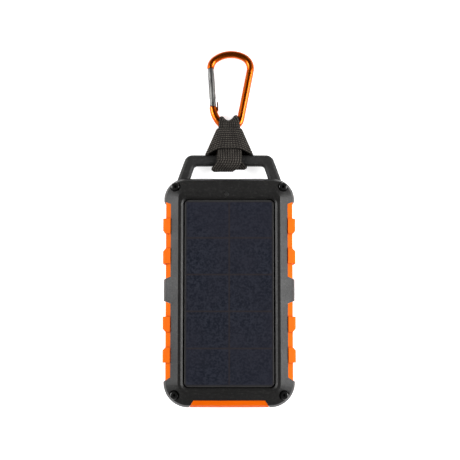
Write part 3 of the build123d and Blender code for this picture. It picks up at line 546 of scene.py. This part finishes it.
def strip_rows():
    """The strip's edges from the start of the front strand to the end that is sewn to it."""
    start = [(at(-7.6, 15.3, 8.2), at(7.8, 15.3, 8.2)), (at(-7.6, 10.3, 9.7), at(8.0, 10.3, 9.7))]
    start.append((at(-7.5, 6.2, 12.3), at(8.1, 6.2, 12.3)))
    right = half_hitch(OUTER_TURN)
    left = [(mirrored(a), mirrored(b)) for a, b in half_hitch(INNER_TURN)]
    left = left[-2::-1]  # the two halves share the middle of the bight
    # down from the bar and away from it, to lie under the carabiner's foot
    behind = ((7.6, 6.0, 10.9), (7.4, 10.0, 8.3), (7.3, 13.3, 5.8), (7.2, 16.4, 3.7), (7.0, 19.4, 2.0))
    back = [(at(half, y, z), at(-half, y, z)) for half, y, z in behind]
    # round the foot, and back over it to the start
    foot = [
        (at(6.9, 22.6, 1.1), at(-6.9, 22.6, 1.1)),
        (at(5.4, 27.7, 1.3), at(-5.9, 27.4, 1.3)),
        (at(3.8, 30.1, 4.4), at(-4.5, 29.5, 4.4)),
        (at(5.4, 29.3, 7.9), at(-6.1, 28.6, 7.9)),
        (at(6.9, 24.6, 8.3), at(-6.9, 24.6, 8.3)),
        (at(7.0, 21.2, 7.5), at(-7.0, 21.2, 7.5)),
        (at(7.2, 16.8, 6.7), at(-7.2, 16.8, 6.7)),
        (at(7.3, 12.6, 7.0), at(-7.3, 12.6, 7.0)),
    ]
    return start + right + left + back + foot


def strip_dips(rows):
    """How far the middle of each row lies off the straight line between its edges.

    The fold follows the carabiner's curved foot, so its middle is nearer to the handle.
    """
    dips = []
    for a, b in rows:
        past_axis = (a.y + b.y) / 2 - foot_y
        if past_axis > FOLD_NEAR:
            dip = FOLD_DIP
        elif past_axis > FOLD_START:
            dip = FOLD_DIP / 2
        else:
            dip = 0.0
        dips.append((0, -dip, 0))
    return dips


def smooth_line(points, steps):
    """A Catmull-Rom curve through the points, with the given number of steps in each gap."""
    points = np.array([tuple(point) for point in points])
    padded = np.vstack([2 * points[0] - points[1], points, 2 * points[-1] - points[-2]])
    out = []
    for i, count in enumerate(steps):
        p0, p1, p2, p3 = padded[i : i + 4]
        for t in np.linspace(0, 1, count, endpoint=False):
            straight = 2 * p1 + (p2 - p0) * t
            bent = (2 * p0 - 5 * p1 + 4 * p2 - p3) * t**2 + (3 * p1 - p0 - 3 * p2 + p3) * t**3
            out.append((straight + bent) / 2)
    out.append(points[-1])
    return np.array(out)


def strip_middle():
    """The strip's middle surface as a grid of points, and how far along it each row is."""
    rows = strip_rows()
    centres = [(a + b) / 2 for a, b in rows]
    gaps = [(after - before).length for before, after in zip(centres, centres[1:])]
    steps = [max(FEWEST_STEPS, round(gap / ROW_STEP)) for gap in gaps]
    line_a = smooth_line([a for a, b in rows], steps)
    line_b = smooth_line([b for a, b in rows], steps)
    dip = smooth_line(strip_dips(rows), steps)
    across = np.linspace(0, 1, COLUMNS)[None, :, None]
    grid = line_a[:, None, :] * (1 - across) + line_b[:, None, :] * across
    grid = grid + dip[:, None, :] * (1 - (2 * across - 1) ** 2)
    # selvedges that wander a little
    along = np.cumsum(np.r_[0, np.linalg.norm(np.diff((line_a + line_b) / 2, axis=0), axis=1)])
    width_way = line_b - line_a
    width_way /= np.linalg.norm(width_way, axis=1)[:, None]
    wander = sum(height * np.sin(along / length) for height, length in SELVEDGE_WAVES)
    grid[:, 0] -= width_way * wander[:, None]
    grid[:, -1] += width_way * np.roll(wander, 3)[:, None]
    return grid, along


def strip_half_thickness(along):
    """Half the thickness at each point: rounded selvedges, and ribs that are rows of bumps."""
    rim = np.abs(np.linspace(-1, 1, COLUMNS))
    rounding = np.clip((rim - SELVEDGE_START) / (1 - SELVEDGE_START), 0, 1) ** 2
    plain = STRIP_THICK / 2 * (1 - SELVEDGE_LOSS * rounding)
    rib = np.sin(math.pi * (np.linspace(0, STRIP_WIDTH, COLUMNS) / RIB)) ** 2
    pick = 0.5 + 0.5 * np.sin(2 * math.pi * along / PICK)
    relief = RELIEF * rib[None, :] * (0.4 + 0.6 * pick[:, None])
    return plain[None, :] - RELIEF / 2 + relief


def strip_faces(count):
    """Quads over the strip's two sides, its two selvedges and its two ends."""

    def index(side, i, j):
        return (side * count + i) * COLUMNS + j

    faces = []
    for i in range(count - 1):
        for j in range(COLUMNS - 1):
            faces.append([index(0, i, j), index(0, i + 1, j), index(0, i + 1, j + 1), index(0, i, j + 1)])
            faces.append([index(1, i, j), index(1, i, j + 1), index(1, i + 1, j + 1), index(1, i + 1, j)])
        for j, way in ((0, 1), (COLUMNS - 1, -1)):
            faces.append([index(0, i, j), index(1, i, j), index(1, i + 1, j), index(0, i + 1, j)][::way])
    for i, way in ((0, 1), (count - 1, -1)):
        for j in range(COLUMNS - 1):
            faces.append([index(0, i, j), index(0, i, j + 1), index(1, i, j + 1), index(1, i, j)][::way])
    return faces


def add_weave_map(mesh, along):
    """A UV map in millimetres across and along the flat strip, for the weave."""
    corner = np.zeros(len(mesh.loops), int)
    mesh.loops.foreach_get("vertex_index", corner)
    row = (corner % (len(along) * COLUMNS)) // COLUMNS
    column = corner % COLUMNS
    uv = np.stack([column / (COLUMNS - 1) * STRIP_WIDTH / MM, along[row] / MM], axis=1)
    weave = mesh.uv_layers.new(name="weave")
    weave.data.foreach_set("uv", uv.astype(np.float32).ravel())


def make_strip():
    """The whole strip as one closed mesh, and its length."""
    middle, along = strip_middle()
    normal = np.cross(np.gradient(middle, axis=0), np.gradient(middle, axis=1))
    normal /= np.linalg.norm(normal, axis=2)[:, :, None]
    offset = normal * strip_half_thickness(along)[:, :, None]
    sides = [(middle + offset).reshape(-1, 3), (middle - offset).reshape(-1, 3)]
    mesh = bpy.data.meshes.new("webbing_strip")
    mesh.from_pydata(np.vstack(sides).tolist(), [], strip_faces(len(along)))
    mesh.update()
    add_weave_map(mesh, along)
    for polygon in mesh.polygons:
        polygon.use_smooth = True
    strip = bpy.data.objects.new("webbing_strip", mesh)
    bpy.context.scene.collection.objects.link(strip)
    return strip, float(along[-1])


def webbing_material():
    """Dark plain-woven webbing: ribs along the strip crossed by picks, painted shade in the grooves between them,
    and worn, dusty threads.
    """
    shader = Shader("webbing_look", WEBBING_TONE, 0.85, specular=0.2)
    across, along = shader.split(shader.node("UVMap", uv_map="weave").outputs["UV"])
    rib = shader.wave(across, 2 * RIB / MM)
    rib = shader.math("MULTIPLY", rib, rib)
    pick = shader.remap(shader.wave(along, PICK / MM), -1.0, 1.0, 0.25, 1.0)
    height = shader.math("MULTIPLY", rib, pick)
    fuzz = shader.noise(0.5 * MM, 4.0)
    thread = shader.mix(
        shader.mottle(6 * MM, 3.0, 0.35, 0.65), (0.078, 0.069, 0.060), (0.130, 0.117, 0.101)
    )
    # painted shade: near black where the weave sinks between ribs and picks, the threads' own tone on top
    colour = shader.mix(height, (0.006, 0.005, 0.004), thread)
    dust = shader.remap(fuzz, 0.60, 0.85, 0.0, 0.6)
    shader.colour(shader.mix(dust, colour, (0.13, 0.12, 0.105)))
    shader.bump(fuzz, 0.12 * MM, 0.6)
    shader.bump(height, 0.35 * MM, 0.9)
    return shader.material


strip, strip_length = make_strip()
strip.data.materials.append(webbing_material())
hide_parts("lanyard_hitch", "lanyard_loop")
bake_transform(strip)
